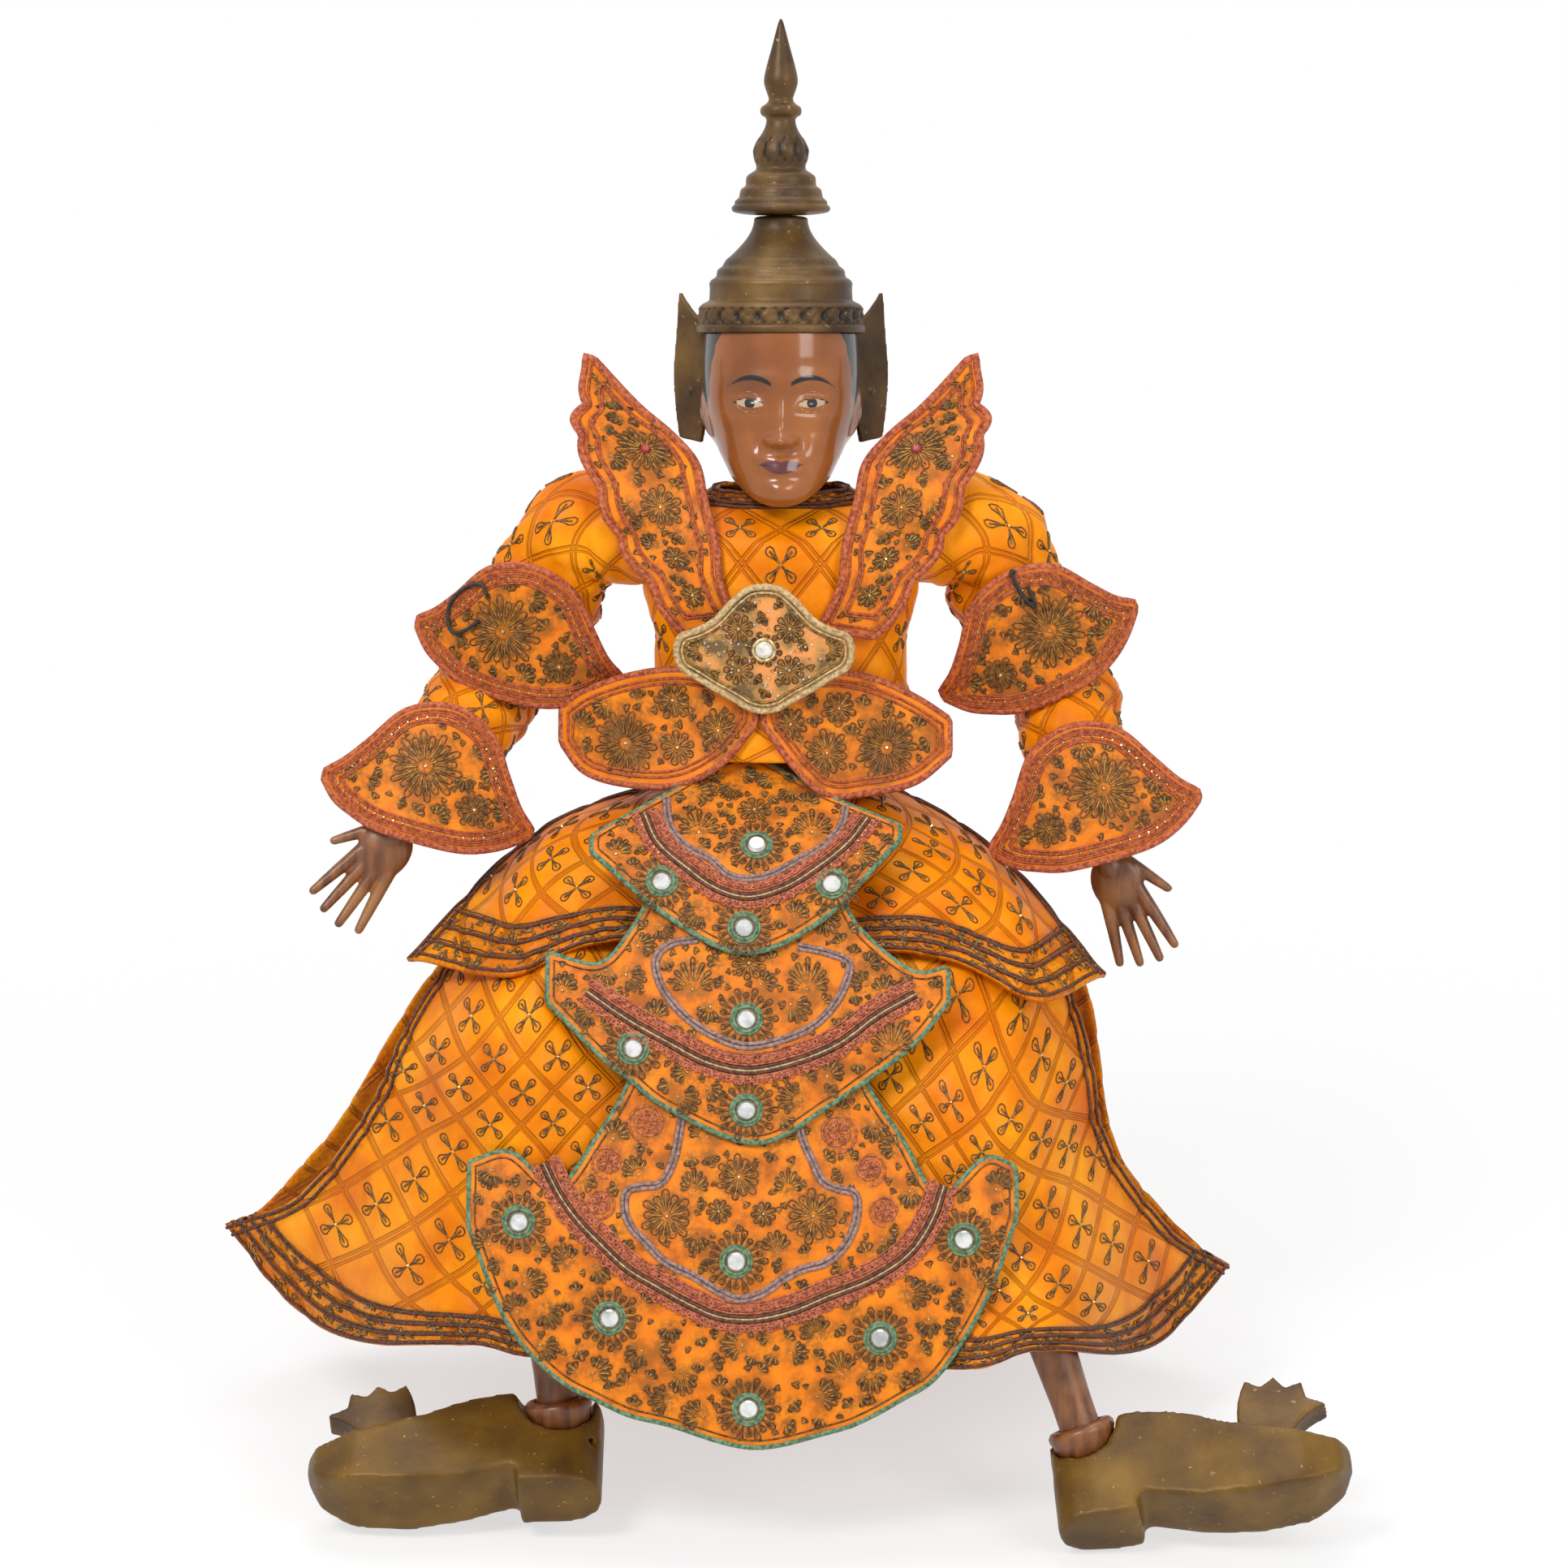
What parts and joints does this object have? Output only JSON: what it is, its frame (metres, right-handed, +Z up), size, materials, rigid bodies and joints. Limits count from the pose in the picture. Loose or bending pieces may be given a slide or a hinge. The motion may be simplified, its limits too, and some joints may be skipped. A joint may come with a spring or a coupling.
{
  "type": "marionette",
  "caption": "Hanging marionette of a crowned court figure: carved wooden head, limbs and curl-toed shoes on pinned joints, with a tiered crown and a quilted embroidered costume.",
  "frame": {"origin": "eye of the back tie ring, behind the chest, where the carrying string is tied", "axes": "+Z up, the figure faces -Y and its own left side is +X"},
  "size_m": [0.4776, 0.2871, 0.599],
  "materials": {
    "carved_wood": "satin, darkened",
    "lacquered_face": "gloss lacquer",
    "gilt_wood": "worn dull gilding",
    "quilted_satin": "quilted satin with embroidery",
    "embroidered_flap": "dense metal-thread embroidery",
    "apron_cloth": "embroidered, green edging",
    "medallion_cloth": "metal-thread embroidery, cream edging",
    "glass_stone": "clear",
    "iron": "dark"
  },
  "bodies": {
    "chest": {"chest_block": "carved_wood", "waist_pin": "iron", "back_tie_ring": "iron", "jacket": "quilted_satin", "collar_right": "embroidered_flap", "collar_left": "embroidered_flap", "hip_flap_right": "embroidered_flap", "hip_flap_left": "embroidered_flap", "belt_plaque": "medallion_cloth", "plaque_gem": "glass_stone"},
    "neck": {"neck_peg": "carved_wood"},
    "head": {"head": "lacquered_face", "crown_base": "gilt_wood", "crown_spire": "gilt_wood", "ear_ornament_right": "gilt_wood", "ear_ornament_left": "gilt_wood"},
    "pelvis": {"pelvis_block": "carved_wood", "hip_dowel": "carved_wood", "apron_upper": "apron_cloth", "apron_middle": "apron_cloth", "apron_lower": "apron_cloth", "peplum_right": "quilted_satin", "peplum_left": "quilted_satin", "skirt_back": "quilted_satin"},
    "shoulder_right": {"shoulder_link_right": "carved_wood"},
    "upper_arm_right": {"upper_arm_right": "carved_wood", "sleeve_right": "quilted_satin", "arm_flap_right": "embroidered_flap"},
    "forearm_right": {"forearm_right": "carved_wood", "elbow_pin_right": "iron", "wrist_pin_right": "iron", "cuff_right": "embroidered_flap"},
    "hand_right": {"hand_right": "carved_wood"},
    "thigh_right": {"thigh_right": "carved_wood", "skirt_front_right": "quilted_satin"},
    "shin_right": {"shin_right": "carved_wood", "knee_pin_right": "iron", "ankle_pin_right": "iron"},
    "shoe_right": {"shoe_right": "gilt_wood", "toe_ornament_right": "gilt_wood"},
    "shoulder_left": {"shoulder_link_left": "carved_wood"},
    "upper_arm_left": {"upper_arm_left": "carved_wood", "sleeve_left": "quilted_satin", "arm_flap_left": "embroidered_flap"},
    "forearm_left": {"forearm_left": "carved_wood", "elbow_pin_left": "iron", "wrist_pin_left": "iron", "cuff_left": "embroidered_flap"},
    "hand_left": {"hand_left": "carved_wood"},
    "thigh_left": {"thigh_left": "carved_wood", "skirt_front_left": "quilted_satin"},
    "shin_left": {"shin_left": "carved_wood", "knee_pin_left": "iron", "ankle_pin_left": "iron"},
    "shoe_left": {"shoe_left": "gilt_wood", "toe_ornament_left": "gilt_wood"}
  },
  "joints": [
    {"name": "waist_bend", "type": "hinge", "parent": "chest", "child": "pelvis", "pos_m": [0, -0.052, -0.068], "axis": [-1, 0, 0], "range_deg": [0, 8], "deforming": ["apron_upper", "skirt_back"]},
    {"name": "neck_turn", "type": "hinge", "parent": "chest", "child": "neck", "pos_m": [0, -0.044, 0.013], "axis": [0, 0, 1], "range_deg": [-25, 25]},
    {"name": "head_nod", "type": "hinge", "parent": "neck", "child": "head", "pos_m": [0, -0.044, 0.036], "axis": [1, 0, 0], "range_deg": [-8, 5]},
    {"name": "shoulder_swing_right", "type": "hinge", "parent": "chest", "child": "shoulder_right", "pos_m": [-0.077, -0.043, 0.01], "axis": [-1, 0, 0], "range_deg": [-20, 60], "deforming": ["sleeve_right"]},
    {"name": "shoulder_lift_right", "type": "hinge", "parent": "shoulder_right", "child": "upper_arm_right", "pos_m": [-0.077, -0.043, 0.01], "axis": [0, 0.9982, 0.0601], "range_deg": [0, 50]},
    {"name": "elbow_right", "type": "hinge", "parent": "upper_arm_right", "child": "forearm_right", "pos_m": [-0.127, -0.038, -0.073], "axis": [-0.8542, 0.0496, 0.5176], "range_deg": [-45, 38]},
    {"name": "wrist_right", "type": "hinge", "parent": "forearm_right", "child": "hand_right", "pos_m": [-0.154, -0.096, -0.112], "axis": [-0.8542, 0.0496, 0.5176], "range_deg": [-30, 18]},
    {"name": "hip_right", "type": "hinge", "parent": "pelvis", "child": "thigh_right", "pos_m": [-0.035, -0.058, -0.14], "axis": [-1, 0, 0], "range_deg": [0, 25], "deforming": ["peplum_right", "skirt_front_right", "apron_middle", "apron_lower"]},
    {"name": "knee_right", "type": "hinge", "parent": "thigh_right", "child": "shin_right", "pos_m": [-0.111, -0.16, -0.194], "axis": [0.7117, -0.659, 0.2432], "range_deg": [-55, 28]},
    {"name": "ankle_right", "type": "hinge", "parent": "shin_right", "child": "shoe_right", "pos_m": [-0.09, -0.196, -0.353], "axis": [0.7117, -0.659, 0.2432], "range_deg": [-8, 8]},
    {"name": "shoulder_swing_left", "type": "hinge", "parent": "chest", "child": "shoulder_left", "pos_m": [0.077, -0.043, 0.01], "axis": [-1, 0, 0], "range_deg": [-20, 60], "deforming": ["sleeve_left"]},
    {"name": "shoulder_lift_left", "type": "hinge", "parent": "shoulder_left", "child": "upper_arm_left", "pos_m": [0.077, -0.043, 0.01], "axis": [0, -0.9982, -0.0594], "range_deg": [0, 50]},
    {"name": "elbow_left", "type": "hinge", "parent": "upper_arm_left", "child": "forearm_left", "pos_m": [0.121, -0.038, -0.074], "axis": [-0.8706, 0.2131, -0.4434], "range_deg": [-45, 25]},
    {"name": "wrist_left", "type": "hinge", "parent": "forearm_left", "child": "hand_left", "pos_m": [0.134, -0.091, -0.125], "axis": [-0.8706, 0.2131, -0.4434], "range_deg": [-30, 30]},
    {"name": "hip_left", "type": "hinge", "parent": "pelvis", "child": "thigh_left", "pos_m": [0.035, -0.058, -0.14], "axis": [-1, 0, 0], "range_deg": [0, 25], "deforming": ["peplum_left", "skirt_front_left"]},
    {"name": "knee_left", "type": "hinge", "parent": "thigh_left", "child": "shin_left", "pos_m": [0.079, -0.162, -0.224], "axis": [0.9436, 0.1696, 0.2843], "range_deg": [-25, 60]},
    {"name": "ankle_left", "type": "hinge", "parent": "shin_left", "child": "shoe_left", "pos_m": [0.128, -0.21, -0.358], "axis": [0.9436, 0.1696, 0.2843], "range_deg": [-8, 8]}
  ]
}
